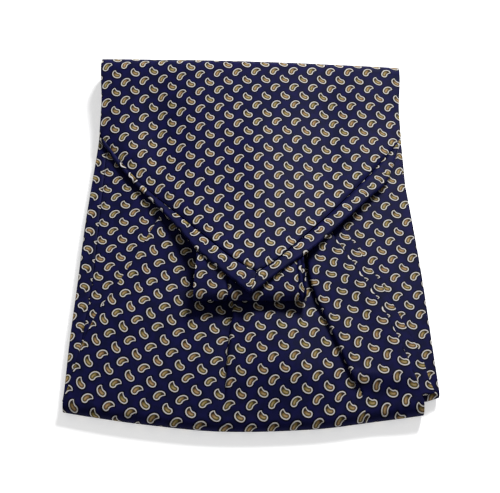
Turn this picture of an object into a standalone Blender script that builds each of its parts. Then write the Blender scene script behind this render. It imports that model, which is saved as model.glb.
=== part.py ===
"""A silk day cravat, folded flat for display.

The pointed end comes over the top fold and lies on a pleated neckband. Below the
neckband the blade fans out in pleats to the bottom fold and turns under. The other
blade lies beneath and shows along both sides. The cloth is a wall of one thickness.
Sizes are in millimetres, turned into metres where a mesh is made: X to the right,
Y from the bottom fold to the top fold, Z up from the surface that it lies on.
"""

import math
from collections import namedtuple

import bmesh
import bpy

MM = 0.001

# The middle of the folded cravat in the tables below, which goes to the origin.
MIDDLE_X = 0.57
MIDDLE_Y = 0.33

# How many points the grids have along and across.
LENGTH_ROWS = 18
POINT_ROWS = 17
POINT_COLUMNS = 21
PANEL_POINTS = 9

# The cloth with its interlining, and the gap that is left at each seam.
CLOTH = 1.1
SEAM_GAP = 0.3
HALF_CLOTH = CLOTH / 2
PLY = CLOTH + SEAM_GAP

# Heights of the upper faces along the length. side and middle belong to the
# lower blade. flap is the middle of the pointed end, and drop is how much lower
# that is beside it, at CROWN_HALF_WIDTH.
Level = namedtuple("Level", "y side middle flap drop")
LEVELS = (
    Level(-101.0, 5.4, 5.8, 22.5, 4.5),
    Level(-85.0, 5.8, 7.4, 22.5, 4.5),
    Level(-60.0, 6.4, 8.9, 22.5, 4.5),
    Level(-44.0, 6.6, 9.1, 22.4, 4.5),
    Level(-24.0, 6.7, 9.2, 20.2, 4.5),
    Level(-10.0, 6.8, 9.2, 17.4, 4.5),
    Level(2.0, 6.8, 9.2, 15.8, 4.5),
    Level(14.0, 6.8, 9.2, 14.7, 4.5),
    Level(34.0, 6.9, 9.4, 14.3, 4.5),
    Level(58.0, 7.8, 10.2, 15.2, 4.4),
    Level(78.0, 9.6, 12.2, 16.8, 3.0),
    Level(94.0, 11.4, 13.4, 18.0, 1.6),
)
CROWN_HALF_WIDTH = 76.0

# Side edges of the lower blade, with the line where its left border ends.
Side = namedtuple("Side", "y left border right")
SIDES = (
    Side(88.0, -73.4, -69.6, 70.8),
    Side(48.0, -74.8, -70.8, 71.8),
    Side(25.0, -76.1, -71.1, 74.6),
    Side(0.0, -77.0, -71.5, 76.6),
    Side(-28.0, -77.6, -71.8, 78.4),
    Side(-60.0, -78.4, -74.0, 79.8),
    Side(-84.0, -79.5, -76.0, 81.0),
    Side(-90.0, -80.2, -77.0, 81.4),
)

# Lines of the pleats, from under the pointed end to the bottom fold.
Fan = namedtuple("Fan", "y left_edge valley pleat right_edge under_pleat")
FAN = (
    Fan(10.0, -39.5, -5.0, 26.0, 36.0, 40.5),
    Fan(-4.0, -46.2, -6.0, 26.0, 37.6, 44.8),
    Fan(-23.0, -55.0, -7.0, 26.4, 48.4, 54.8),
    Fan(-35.0, -61.6, -7.4, 28.1, 54.9, 60.6),
    Fan(-49.0, -69.0, -7.9, 32.9, 61.0, 66.9),
    Fan(-65.0, -74.0, -9.5, 39.1, 66.0, 73.8),
    Fan(-78.0, -76.7, -10.2, 43.8, 70.3, 77.0),
    Fan(-86.0, -78.3, -10.4, 45.4, 72.8, 79.6),
    Fan(-92.0, -81.2, -10.6, 46.4, 74.8, 80.4),
    Fan(-101.0, -81.2, -10.6, 46.8, 75.2, 80.4),
)

# The bottom fold: how far it reaches towards the front.
Fold = namedtuple("Fold", "x y")
BOTTOM_FOLD = (
    Fold(-80.5, -91.4),
    Fold(-68.0, -93.7),
    Fold(-45.0, -97.2),
    Fold(-12.0, -100.4),
    Fold(27.0, -99.4),
    Fold(52.0, -96.2),
    Fold(75.0, -93.0),
    Fold(82.0, -90.8),
)
BOTTOM_FOLD_DEPTH = 4.4
FAN_UNDERSIDE_Y = -76.0
FAN_TOP_LEFT = 10.0
FAN_TOP_RIGHT = 4.0
FAN_FOLD_NEAR = -92.0
LOWER_BLADE_BEHIND = 6.2
LOWER_FOLD_DEPTH = 2.2
LOWER_BLADE_TOP = 84.0
LOWER_UNDERSIDE_Y = -73.0
SIDE_BORDER_FRONT = -87.6
RIGHT_PLEAT_TOP = 3.0
RIGHT_PLEAT_COVERED = 3.6

# Edges of the point, from the shoulder to the tip. inner is where the cloth
# ends, and outer is the far edge of the border beyond it.
Edge = namedtuple("Edge", "inner_x inner_y outer_x outer_y")
LEFT_EDGE = (
    Edge(-71.8, 49.9, -74.1, 51.4),
    Edge(-61.7, 36.7, -63.8, 35.9),
    Edge(-52.9, 25.4, -55.4, 23.7),
    Edge(-46.6, 18.6, -49.3, 15.8),
    Edge(-32.5, 3.8, -36.7, -0.3),
    Edge(-16.8, -13.1, -23.0, -19.8),
    Edge(-7.7, -23.0, -13.4, -30.2),
    Edge(2.6, -31.3, 0.2, -43.4),
)
RIGHT_EDGE = (
    Edge(71.5, 45.7, 74.5, 48.0),
    Edge(66.0, 39.3, 71.0, 36.0),
    Edge(58.0, 28.8, 64.6, 23.4),
    Edge(51.0, 20.3, 56.4, 14.2),
    Edge(36.5, 2.8, 41.8, -2.2),
    Edge(21.5, -14.3, 27.2, -18.8),
    Edge(11.4, -25.0, 16.0, -28.9),
    Edge(2.6, -31.3, 0.2, -43.4),
)
SHOULDER_HALF = 74.2
TOP_HALF = 75.8
TOP_ROLL_Y = 90.0
TOP_ROLL_SLANT = -0.04
TOP_ROLL_DEPTH = 7.6
SHOULDER_Y = 52.0
SHOULDER_SLANT = -1.3
UNDERSIDE_SEAM = -58.0
UNDERSIDE_RETURN = UNDERSIDE_SEAM - SEAM_GAP

# The neckband's upper and lower ply, which meet in its rounded fold.
Band = namedtuple("Band", "y upper lower")
NECKBAND = (
    Band(2.0, 13.4, 11.6),
    Band(-10.0, 15.1, 12.0),
    Band(-24.0, 17.7, 12.9),
    Band(-32.0, 18.4, 13.2),
    Band(-39.4, 18.3, 13.3),
)
NECKBAND_TOP = 2.0
NECKBAND_HALF_TOP = 24.0
NECKBAND_HALF_FOLD = 24.9
NECKBAND_FOLD_DEPTH = 5.2

# Pleats pressed into the neckband: place across, width and depth of each.
Tuck = namedtuple("Tuck", "x width depth")
NECKBAND_TUCKS = (
    Tuck(-9.4, 0.9, 1.1),
    Tuck(20.8, 1.0, 0.7),
    Tuck(22.8, 1.0, 0.7),
)
TUCK_STEPS = (-0.7, 0.0, 0.7)

# A pleat's fold turns on this radius, measured to the middle of the cloth.
TURN_RADIUS = 0.75
TURN_STEPS = 4
TURN_LEAST_LENGTH = 1.4
MERGE_DISTANCE = 0.02
PLEAT_DEPTH = 6.5
PLEAT_DEPTH_TOP = 2.4
PLEAT_OPENS_AT = -66.0
PLEAT_FLAT_AT = -89.0
PLEAT_LEAST_DEPTH = 0.7
HEM_DEPTH = 3.4
HEM_SHORTENS_AT = -48.0
HEM_CHANGE = 16.0
FAN_RISE_RIGHT = 4 * TURN_RADIUS
FAN_RISE_AT_FOLD = 1.7

# The soft valley: its steps across, how far the cloth swells beside it and where.
VALLEY_STEPS = (-2.2, -1.0, 0.0, 1.0, 2.2)
VALLEY_RISE = 1.5
VALLEY_WIDTH = 4.5
VALLEY_FADES_AT = -90.0
VALLEY_STARTS_AT = -4.0

# The solid of hidden layers, and the grooves along its sides.
CORE_FRONT = -70.0
CORE_BACK = 94.5
CORE_ROUND = 7.0
CORE_END_SQUEEZE = 0.6
CORE_INSET = 2.6
CORE_LAYERS = 3
CORE_GROOVE = 1.6


def smooth_step(value):
    """Return 0 below 0, 1 above 1 and a soft step between them."""
    value = min(1.0, max(0.0, value))
    return value * value * (3.0 - 2.0 * value)


def soft_blend(start, end, out_slope, in_slope, part):
    """Return a point of the cubic that has these ends and slopes."""
    bend = 3 * (end - start) - 2 * out_slope - in_slope
    twist = 2 * (start - end) + out_slope + in_slope
    return start + part * out_slope + part ** 2 * bend + part ** 3 * twist


def read_row(rows, place):
    """Return the row at a place counted in rows, on a smooth curve through them."""
    place = min(max(place, 0.0), len(rows) - 1.0)
    first = min(int(place), len(rows) - 2)
    part = place - first
    near = [rows[max(0, min(len(rows) - 1, first + step))] for step in (-1, 0, 1, 2)]
    values = []
    for before, start, end, after in zip(*near):
        values.append(soft_blend(start, end, (end - before) / 2, (after - start) / 2, part))
    return type(rows[0])(*values)


def row_at(rows, key):
    """Return the row at a value of its first column, on a smooth curve."""
    if rows[0][0] > rows[-1][0]:
        rows = rows[::-1]
    key = min(max(key, rows[0][0]), rows[-1][0])
    first = max(index for index in range(len(rows) - 1) if rows[index][0] <= key)
    near = [rows[max(0, min(len(rows) - 1, first + step))] for step in (-1, 0, 1, 2)]
    span = near[2][0] - near[1][0]
    part = (key - near[1][0]) / span
    values = []
    for before, start, end, after in zip(*near):
        out_slope = (end - before) * span / (near[2][0] - near[0][0])
        in_slope = (after - start) * span / (near[3][0] - near[1][0])
        values.append(soft_blend(start, end, out_slope, in_slope, part))
    return type(rows[0])(*values)


def lower_top(x, y):
    """Height of the lower blade's upper face."""
    level = row_at(LEVELS, y)
    crown = max(0.0, 1.0 - (x / CROWN_HALF_WIDTH) ** 2)
    return level.side + (level.middle - level.side) * crown


def flap_top(x, y):
    """Height of the pointed end's upper face."""
    level = row_at(LEVELS, y)
    return level.flap - level.drop * (x / CROWN_HALF_WIDTH) ** 2


def spread(first, last, count):
    """Return evenly spaced numbers, with both ends."""
    return [first + (last - first) * step / (count - 1) for step in range(count)]


def half_turn(count):
    """Return the angles of a fold from its upper to its lower side, without ends."""
    return [math.pi * (step + 1) / (count + 1) for step in range(count)]


def round_fold(edge_y, upper, lower, depth, angle):
    """Place a point of a fold that turns under: its y and z."""
    middle = (upper + lower) / 2
    y = edge_y + math.sin(angle) * depth
    return y, middle + (upper - lower) / 2 * math.cos(angle)


def to_metres(x, y, z):
    """Turn a point of the tables into a point of the model."""
    return (x - MIDDLE_X) * MM, (y - MIDDLE_Y) * MM, z * MM


def make_material(name, color, roughness):
    """Give a piece its own plain cloth material."""
    material = bpy.data.materials.new(name)
    material.use_nodes = True
    shader = material.node_tree.nodes["Principled BSDF"]
    shader.inputs["Base Color"].default_value = (*color, 1.0)
    shader.inputs["Roughness"].default_value = roughness
    shader.inputs["Metallic"].default_value = 0.0
    return material


def add_object(name, mesh, collection, color, roughness=0.45):
    """Put a finished mesh into the cravat's collection."""
    mesh.shade_smooth()
    mesh.set_sharp_from_angle(angle=math.radians(50))
    piece = bpy.data.objects.new(name, mesh)
    collection.objects.link(piece)
    mesh.materials.append(make_material(name, color, roughness))
    return piece


def cloth_wall(name, rows, collection, color):
    """Make a wall of cloth round a grid of points in the middle of the cloth.

    Rows run along the cloth and points run to the right, seen from its good side.
    """
    builder = bmesh.new()
    grid = [[builder.verts.new(to_metres(*point)) for point in row] for row in rows]
    for near, far in zip(grid, grid[1:]):
        for column in range(len(near) - 1):
            corners = (near[column], near[column + 1], far[column + 1], far[column])
            builder.faces.new(corners)
    bmesh.ops.remove_doubles(builder, verts=builder.verts, dist=MERGE_DISTANCE * MM)
    mesh = bpy.data.meshes.new(name)
    builder.to_mesh(mesh)
    builder.free()
    piece = add_object(name, mesh, collection, color)
    wall = piece.modifiers.new("cloth", "SOLIDIFY")
    wall.thickness = CLOTH * MM
    wall.offset = 0.0
    wall.use_even_offset = False
    return piece


def turn_path(moves):
    """Walk along a fold seen from its end: each move is a length and a turn."""
    x, z, heading = 0.0, 0.0, 0.0
    points = [(x, z)]
    for length, turn in moves:
        heading += turn / 2
        x += length * math.cos(heading)
        z += length * math.sin(heading)
        heading += turn / 2
        points.append((x, z))
    return points


def turn_moves(angle):
    """Split one turn of a pleat into short steps."""
    length = max(TURN_RADIUS * abs(angle), TURN_LEAST_LENGTH) / TURN_STEPS
    return [(length, angle / TURN_STEPS)] * TURN_STEPS


def fan_layer(x, y):
    """Height of the middle of the first ply of the fan."""
    return lower_top(x, y) + SEAM_GAP + HALF_CLOTH


def valley_rise(x, y, fan):
    """How far the cloth swells on both sides of the soft valley."""
    along = smooth_step((y - VALLEY_FADES_AT) / 22.0) * smooth_step((VALLEY_STARTS_AT - y) / 30.0)
    across = 1.0 - math.exp(-((x - fan.valley) / VALLEY_WIDTH) ** 2)
    to_left = smooth_step((x - fan.left_edge) / 26.0)
    to_right = smooth_step((fan.pleat + 2.0 - x) / 20.0)
    return VALLEY_RISE * along * across * to_left * to_right


def fan_section(y):
    """Return the fan's section at y as x and z of the middle of the cloth."""
    fan = row_at(FAN, y)
    flat = smooth_step((PLEAT_OPENS_AT - y) / (PLEAT_OPENS_AT - PLEAT_FLAT_AT))
    depth = PLEAT_DEPTH_TOP + (PLEAT_DEPTH - PLEAT_DEPTH_TOP) * smooth_step((-4.0 - y) / 24.0)
    depth = depth * (1.0 - smooth_step(flat * 1.6)) + PLEAT_LEAST_DEPTH
    angle = math.pi * (1.0 - smooth_step((flat - 0.35) / 0.65))
    pleat = turn_path(turn_moves(angle) + [(depth / 2, 0.0)] * 2 + turn_moves(-angle))
    pleat_shift = fan.pleat - min(x for x, z in pleat)

    def panel_height(x):
        return fan_layer(x, y) + valley_rise(x, y, fan)

    points = []
    for x in spread(fan.left_edge, fan.valley - VALLEY_WIDTH, PANEL_POINTS):
        points.append((x, panel_height(x)))
    for step in VALLEY_STEPS:
        points.append((fan.valley + step, panel_height(fan.valley + step)))
    for x in spread(fan.valley + VALLEY_WIDTH, pleat_shift - 1.5, PANEL_POINTS):
        points.append((x, panel_height(x)))
    start_z = panel_height(pleat_shift)
    for x, z in pleat:
        points.append((x + pleat_shift, z + start_z))

    left_x, left_z = points[-1]
    left_extra = left_z - fan_layer(left_x, y)
    sinking = smooth_step((flat - 0.55) / 0.45)
    right_extra = FAN_RISE_RIGHT + (FAN_RISE_AT_FOLD - FAN_RISE_RIGHT) * sinking
    hem_short = smooth_step((HEM_SHORTENS_AT - y) / HEM_CHANGE)
    hem_open = smooth_step((HEM_SHORTENS_AT - HEM_CHANGE - y) / HEM_CHANGE)
    hem_length = 0.2 + min(HEM_DEPTH, depth) / 2 * (1.0 - hem_short)
    hem = turn_path(turn_moves(-math.pi * (1.0 - hem_open)) + [(hem_length, 0.0)] * 2)
    hem_shift = fan.right_edge - max(x for x, z in hem)
    for x in spread(left_x, hem_shift, PANEL_POINTS)[1:]:
        part = (x - left_x) / (hem_shift - left_x)
        extra = left_extra + (right_extra - left_extra) * smooth_step(part)
        points.append((x, fan_layer(x, y) + extra))
    last_z = points[-1][1]
    for x, z in hem[1:]:
        points.append((x + hem_shift, z + last_z))
    return points


def fan_fold_y(x):
    """Where the bottom fold starts to turn under."""
    return row_at(BOTTOM_FOLD, x).y + HALF_CLOTH + BOTTOM_FOLD_DEPTH


def fan_point(column, part):
    """Place one point of the fan's front: part runs from its top to the bottom fold."""
    y = FAN_TOP_LEFT + (FAN_FOLD_NEAR - FAN_TOP_LEFT) * part
    for _ in range(3):
        x, z = fan_section(y)[column]
        top = FAN_TOP_LEFT + (FAN_TOP_RIGHT - FAN_TOP_LEFT) * smooth_step((x + 10.0) / 30.0)
        y = top + (fan_fold_y(x) - top) * part
    return x, y, z


def build_fan(collection):
    """The pleated stretch: from under the point to the bottom fold, then under."""
    columns = range(len(fan_section(0.0)))
    rows = []
    for part in spread(0.0, 0.6, 9) + spread(0.66, 1.0, 9):
        rows.append([fan_point(column, part) for column in columns])
    front = rows[-1]
    for angle in half_turn(7) + [math.pi]:
        row = []
        for x, y, z in front:
            y, height = round_fold(y, z, HALF_CLOTH, -BOTTOM_FOLD_DEPTH, angle)
            row.append((x, y, height))
        rows.append(row)
    for y in (FAN_UNDERSIDE_Y, UNDERSIDE_RETURN):
        rows.append([(x, y, HALF_CLOTH) for x, _, _ in front])
    rows.reverse()
    return cloth_wall("pleated_blade", rows, collection, (0.012, 0.009, 0.062))


def lower_fold_y(x):
    """Where the lower blade's own fold starts to turn under."""
    return row_at(BOTTOM_FOLD, x).y + LOWER_BLADE_BEHIND + HALF_CLOTH + LOWER_FOLD_DEPTH


def lower_point(place, part):
    """Place one point of the lower blade's upper side, from its top to its fold."""
    y = LOWER_BLADE_TOP
    for _ in range(3):
        side = row_at(SIDES, y)
        x = side.border + (side.right - side.border) * place
        y = LOWER_BLADE_TOP + (lower_fold_y(x) - LOWER_BLADE_TOP) * part
    return x, y, lower_top(x, y) - HALF_CLOTH


def build_lower_blade(collection):
    """The blade beneath, which shows along both sides."""
    low = PLY + HALF_CLOTH
    places = spread(0.0, 1.0, 15)
    rows = [[lower_point(place, part) for place in places] for part in spread(0.0, 1.0, LENGTH_ROWS)]
    front = rows[-1]
    for angle in half_turn(5) + [math.pi]:
        row = []
        for x, y, top in front:
            y, z = round_fold(y, top, low, -LOWER_FOLD_DEPTH, angle)
            row.append((x, y, z))
        rows.append(row)
    rows.append([(x, LOWER_UNDERSIDE_Y, low) for x, _, _ in front])
    rows.reverse()
    return cloth_wall("lower_blade", rows, collection, (0.011, 0.008, 0.055))


def build_side_border(collection):
    """The rolled facing along the lower blade's left edge."""
    rows = []
    for y in spread(SIDE_BORDER_FRONT, LOWER_BLADE_TOP, LENGTH_ROWS):
        side = row_at(SIDES, y)
        row = []
        for x in spread(side.left, side.border - SEAM_GAP, 4):
            row.append((x, y, lower_top(x, y) - HALF_CLOTH))
        rows.append(row)
    return cloth_wall("side_border", rows, collection, (0.011, 0.008, 0.055))


def build_right_pleat(collection):
    """The narrow pleat that shows between the fan and the lower blade."""
    rows = []
    for part in spread(0.0, 1.0, 15):
        row = []
        for place in spread(0.0, 1.0, 5):
            y = RIGHT_PLEAT_TOP
            for _ in range(3):
                fan = row_at(FAN, y)
                first = fan.right_edge - RIGHT_PLEAT_COVERED
                x = first + (fan.under_pleat - first) * place
                y = RIGHT_PLEAT_TOP + (lower_fold_y(x) - 1.0 - RIGHT_PLEAT_TOP) * part
            row.append((x, y, fan_layer(x, y)))
        rows.append(row)
    rows.reverse()
    return cloth_wall("right_pleat", rows, collection, (0.014, 0.010, 0.070))


def build_neckband(collection):
    """The pleated neckband, folded back under itself below the tip."""
    fold = NECKBAND[-1]
    path = []
    for band in [row_at(NECKBAND, y) for y in spread(NECKBAND_TOP, fold.y, 9)]:
        path.append((band.y, band.upper, 0.0))
    for angle in half_turn(7):
        y, z = round_fold(fold.y, fold.upper, fold.lower, -NECKBAND_FOLD_DEPTH, angle)
        path.append((y, z, angle))
    for band in [row_at(NECKBAND, y) for y in spread(fold.y, NECKBAND_TOP, 6)]:
        path.append((band.y, band.lower, math.pi))
    places = spread(-1.0, 1.0, 12)
    for tuck in NECKBAND_TUCKS:
        places += [(tuck.x + step) / NECKBAND_HALF_TOP for step in TUCK_STEPS]
    places.sort()
    rows = []
    for y, z, angle in path:
        lean = smooth_step((-y - 20.0) / 24.0)
        half = NECKBAND_HALF_TOP + (NECKBAND_HALF_FOLD - NECKBAND_HALF_TOP) * lean
        row = []
        for place in places:
            x = place * half
            dip = 0.0
            for tuck in NECKBAND_TUCKS:
                offset = (place * NECKBAND_HALF_TOP - tuck.x) / tuck.width
                dip += tuck.depth * math.exp(-offset ** 2)
            dip *= smooth_step((math.pi - angle) / 1.0) * smooth_step((-2.0 - y) / 14.0)
            row.append((x, y + dip * math.sin(angle), z - dip * math.cos(angle)))
        rows.append(row)
    rows.reverse()
    return cloth_wall("neckband", rows, collection, (0.012, 0.009, 0.060))


def build_pointed_end(collection):
    """The pointed end: along the underside, round the top fold, down to the tip."""
    columns = spread(-1.0, 1.0, POINT_COLUMNS)

    def roll_y(x):
        return TOP_ROLL_Y + TOP_ROLL_SLANT * x

    rows = []
    for y in (UNDERSIDE_SEAM, -20.0, 30.0, 70.0):
        rows.append([(place * TOP_HALF, y, HALF_CLOTH) for place in columns])
    for angle in [math.pi] + half_turn(9)[::-1]:
        row = []
        for place in columns:
            x = place * TOP_HALF
            top = flap_top(x, TOP_ROLL_Y) - HALF_CLOTH
            y, z = round_fold(roll_y(x), top, HALF_CLOTH, TOP_ROLL_DEPTH, angle)
            row.append((x, y, z))
        rows.append(row)
    for part in spread(0.0, 1.0, 6):
        half = TOP_HALF + (SHOULDER_HALF - TOP_HALF) * smooth_step(part * 1.6)
        row = []
        for place in columns:
            x = place * half
            end_y = SHOULDER_Y + SHOULDER_SLANT * place
            y = roll_y(x) + (end_y - roll_y(x)) * part
            row.append((x, y, flap_top(x, y) - HALF_CLOTH))
        rows.append(row)
    for step in spread(0.0, len(LEFT_EDGE) - 1.0, POINT_ROWS):
        left = read_row(LEFT_EDGE, step)
        right = read_row(RIGHT_EDGE, step)
        row = []
        for place in columns:
            part = (place + 1.0) / 2
            x = left.inner_x + (right.inner_x - left.inner_x) * part
            y = left.inner_y + (right.inner_y - left.inner_y) * part
            row.append((x, y, flap_top(x, y) - HALF_CLOTH))
        rows.append(row)
    for row in rows:
        row.reverse()
    return cloth_wall("pointed_end", rows, collection, (0.013, 0.010, 0.068))


def build_tip_border(name, edges, collection):
    """One side of the border round the point, on the same curve as the point."""
    rows = []
    for step in spread(0.0, len(edges) - 1.0, POINT_ROWS):
        edge = read_row(edges, step)
        width = math.hypot(edge.outer_x - edge.inner_x, edge.outer_y - edge.inner_y)
        row = []
        for part in spread(SEAM_GAP / width, 1.0, 4):
            x = edge.inner_x + (edge.outer_x - edge.inner_x) * part
            y = edge.inner_y + (edge.outer_y - edge.inner_y) * part
            if step > len(edges) - 1.5:
                x += math.copysign(SEAM_GAP / 2, edges[0].inner_x)
            row.append((x, y, flap_top(x, y) - HALF_CLOTH))
        rows.append(row)
    if edges[0].inner_x > 0:
        for row in rows:
            row.reverse()
    return cloth_wall(name, [row[::-1] for row in rows], collection, (0.013, 0.010, 0.066))


def core_ring(y, rounding):
    """Return one ring of the hidden layers: x, y and z of each corner."""
    side = row_at(SIDES, y)
    inward = 1.0 - math.sqrt(max(0.0, 1.0 - (1.0 - rounding) ** 2))
    squeeze = 1.0 - CORE_END_SQUEEZE * inward
    left = side.left + CORE_INSET + 2.0 * inward
    right = side.right - CORE_INSET - 2.0 * inward
    slant = TOP_ROLL_SLANT * smooth_step((y - 40.0) / 40.0)

    def corner(x, part, groove):
        place = y + slant * x
        ceiling = lower_top(x, min(place, LOWER_BLADE_TOP)) - PLY
        middle = (PLY + ceiling) / 2
        return x + groove, place, middle + (part - 0.5) * (ceiling - PLY) * squeeze

    ring = [corner(x, 0.0, 0.0) for x in spread(left + 1.2, right - 1.2, 8)]
    for part in spread(0.0, 1.0, 13)[1:-1]:
        groove = CORE_GROOVE * abs(math.cos(CORE_LAYERS * math.pi * part))
        ring.append(corner(right, part, -groove))
    ring += [corner(x, 1.0, 0.0) for x in spread(right - 1.2, left + 1.2, 14)]
    for part in spread(1.0, 0.0, 13)[1:-1]:
        groove = CORE_GROOVE * abs(math.cos(CORE_LAYERS * math.pi * part))
        ring.append(corner(left, part, groove))
    return ring


def build_folded_layers(collection):
    """The hidden layers: one rounded solid, grooved where its layers end."""
    builder = bmesh.new()
    rings = []
    stations = [CORE_FRONT + step for step in (0.0, 0.6, 2.0, CORE_ROUND)]
    stations += spread(CORE_FRONT + 20.0, CORE_BACK - 16.0, 9)
    stations += [CORE_BACK - step for step in (CORE_ROUND, 4.0, 2.0, 0.6, 0.0)]
    for y in stations:
        rounding = min(1.0, (y - CORE_FRONT) / CORE_ROUND, (CORE_BACK - y) / CORE_ROUND)
        ring = core_ring(y, rounding)
        rings.append([builder.verts.new(to_metres(*corner)) for corner in ring])
    for near, far in zip(rings, rings[1:]):
        for index in range(len(near)):
            after = (index + 1) % len(near)
            builder.faces.new((near[index], near[after], far[after], far[index]))
    builder.faces.new(rings[0][::-1])
    builder.faces.new(rings[-1])
    bmesh.ops.recalc_face_normals(builder, faces=builder.faces)
    mesh = bpy.data.meshes.new("folded_layers")
    builder.to_mesh(mesh)
    builder.free()
    return add_object("folded_layers", mesh, collection, (0.011, 0.008, 0.052), 0.5)


def main():
    """Empty the scene and build the cravat."""
    for item in list(bpy.data.objects):
        bpy.data.objects.remove(item, do_unlink=True)
    collection = bpy.data.collections.new("silk_cravat")
    bpy.context.scene.collection.children.link(collection)
    build_folded_layers(collection)
    build_lower_blade(collection)
    build_side_border(collection)
    build_right_pleat(collection)
    build_fan(collection)
    build_neckband(collection)
    build_pointed_end(collection)
    build_tip_border("tip_border_left", LEFT_EDGE, collection)
    build_tip_border("tip_border_right", RIGHT_EDGE, collection)


main()
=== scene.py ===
"""Dresses a silk day cravat that lies folded flat, and sets its light and camera.

Every piece of cloth is a thin shell on the form of its solid. Sizes in the tables
are in millimetres in the cravat's own frame: X to the right, Y from the bottom fold
to the top fold, Z up from the surface that it lies on.
"""

import functools
import math
from collections import namedtuple

import bmesh
import bpy
from bpy.props import FloatProperty, FloatVectorProperty, PointerProperty
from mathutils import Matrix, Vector


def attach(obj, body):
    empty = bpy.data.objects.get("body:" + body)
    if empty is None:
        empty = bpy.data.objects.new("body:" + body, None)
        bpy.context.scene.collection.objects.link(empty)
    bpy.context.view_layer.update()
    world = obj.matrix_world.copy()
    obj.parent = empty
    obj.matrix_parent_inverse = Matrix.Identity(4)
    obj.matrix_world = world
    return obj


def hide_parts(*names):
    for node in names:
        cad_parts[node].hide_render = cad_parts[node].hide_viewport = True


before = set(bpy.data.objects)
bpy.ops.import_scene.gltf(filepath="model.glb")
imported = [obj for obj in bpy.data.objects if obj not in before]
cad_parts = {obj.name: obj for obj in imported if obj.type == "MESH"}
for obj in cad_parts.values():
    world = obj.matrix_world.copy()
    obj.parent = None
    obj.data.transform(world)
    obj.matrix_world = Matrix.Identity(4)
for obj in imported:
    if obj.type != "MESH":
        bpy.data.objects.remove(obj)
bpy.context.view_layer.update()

bl_info = {
    "name": "Folded silk cravat",
    "version": (1, 0, 0),
    "blender": (4, 5, 0),
    "location": "3D View > Sidebar > Cravat",
    "description": "Builds the printed silk of a day cravat that lies folded flat",
    "category": "Object",
}

MM = 0.001

# The middle of the folded cravat in the tables below, which goes to the origin.
MIDDLE_X = 0.57
MIDDLE_Y = 0.33

# The cloth with its interlining, and the gap that the solids leave at a seam.
CLOTH = 1.1
SEAM_GAP = 0.3
HALF_CLOTH = CLOTH / 2
PLY = CLOTH + SEAM_GAP

# Heights of the upper faces along the length. side and middle belong to the
# lower blade. flap is the middle of the pointed end, and drop is how much lower
# that is beside it, at CROWN_HALF_WIDTH.
Level = namedtuple("Level", "y side middle flap drop")
LEVELS = (
    Level(-101.0, 5.4, 5.8, 22.5, 4.5),
    Level(-85.0, 5.8, 7.4, 22.5, 4.5),
    Level(-60.0, 6.4, 8.9, 22.5, 4.5),
    Level(-44.0, 6.6, 9.1, 22.4, 4.5),
    Level(-24.0, 6.7, 9.2, 20.2, 4.5),
    Level(-10.0, 6.8, 9.2, 17.4, 4.5),
    Level(2.0, 6.8, 9.2, 15.8, 4.5),
    Level(14.0, 6.8, 9.2, 14.7, 4.5),
    Level(34.0, 6.9, 9.4, 14.3, 4.5),
    Level(58.0, 7.8, 10.2, 15.2, 4.4),
    Level(78.0, 9.6, 12.2, 16.8, 3.0),
    Level(94.0, 11.4, 13.4, 18.0, 1.6),
)
CROWN_HALF_WIDTH = 76.0

# Side edges of the lower blade, with the line where its left border ends.
Side = namedtuple("Side", "y left border right")
SIDES = (
    Side(88.0, -73.4, -69.2, 70.8),
    Side(48.0, -74.8, -70.2, 71.8),
    Side(25.0, -76.2, -70.5, 74.6),
    Side(0.0, -77.5, -70.9, 76.6),
    Side(-28.0, -78.2, -71.4, 78.4),
    Side(-60.0, -79.2, -73.8, 79.8),
    Side(-84.0, -79.5, -76.0, 81.0),
    Side(-90.0, -80.2, -77.0, 81.4),
)

# Lines of the pleats, from under the pointed end to the bottom fold.
Fan = namedtuple("Fan", "y left_edge valley pleat right_edge under_pleat")
FAN = (
    Fan(10.0, -39.5, -5.0, 26.0, 36.0, 40.5),
    Fan(-4.0, -46.2, -6.0, 26.0, 36.4, 44.8),
    Fan(-23.0, -55.0, -7.0, 26.4, 46.8, 54.8),
    Fan(-35.0, -61.6, -7.4, 28.1, 53.3, 60.6),
    Fan(-49.0, -69.0, -7.9, 32.9, 60.0, 66.9),
    Fan(-65.0, -74.0, -9.5, 39.1, 66.0, 73.8),
    Fan(-78.0, -76.9, -10.2, 43.8, 70.5, 77.0),
    Fan(-86.0, -79.0, -10.4, 45.4, 72.7, 79.6),
    Fan(-92.0, -82.2, -10.6, 46.4, 74.4, 80.4),
    Fan(-101.0, -82.2, -10.6, 46.8, 75.0, 80.4),
)

# The bottom fold: how far it reaches towards the front.
Fold = namedtuple("Fold", "x y")
BOTTOM_FOLD = (
    Fold(-80.5, -91.4),
    Fold(-68.0, -93.7),
    Fold(-45.0, -97.2),
    Fold(-12.0, -100.4),
    Fold(27.0, -99.4),
    Fold(52.0, -96.2),
    Fold(75.0, -93.0),
    Fold(82.0, -90.8),
)
BOTTOM_FOLD_DEPTH = 4.4
FAN_UNDERSIDE_Y = -76.0
FAN_TOP_LEFT = 10.0
FAN_TOP_RIGHT = 4.0
FAN_TOP_STEP_X = -10.0
FAN_TOP_STEP_WIDTH = 30.0
FAN_FOLD_NEAR = -92.0
LOWER_BLADE_BEHIND = 6.2
LOWER_FOLD_DEPTH = 2.2
LOWER_BLADE_TOP = 84.0
LOWER_UNDERSIDE_Y = -73.0
SIDE_BORDER_FRONT = -87.6
SIDE_BORDER_EDGE_DROP = 0.35
SIDE_BORDER_EDGE_WIDTH = 1.2
RIGHT_PLEAT_TOP = 3.0
RIGHT_PLEAT_COVERED = 3.6

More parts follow.
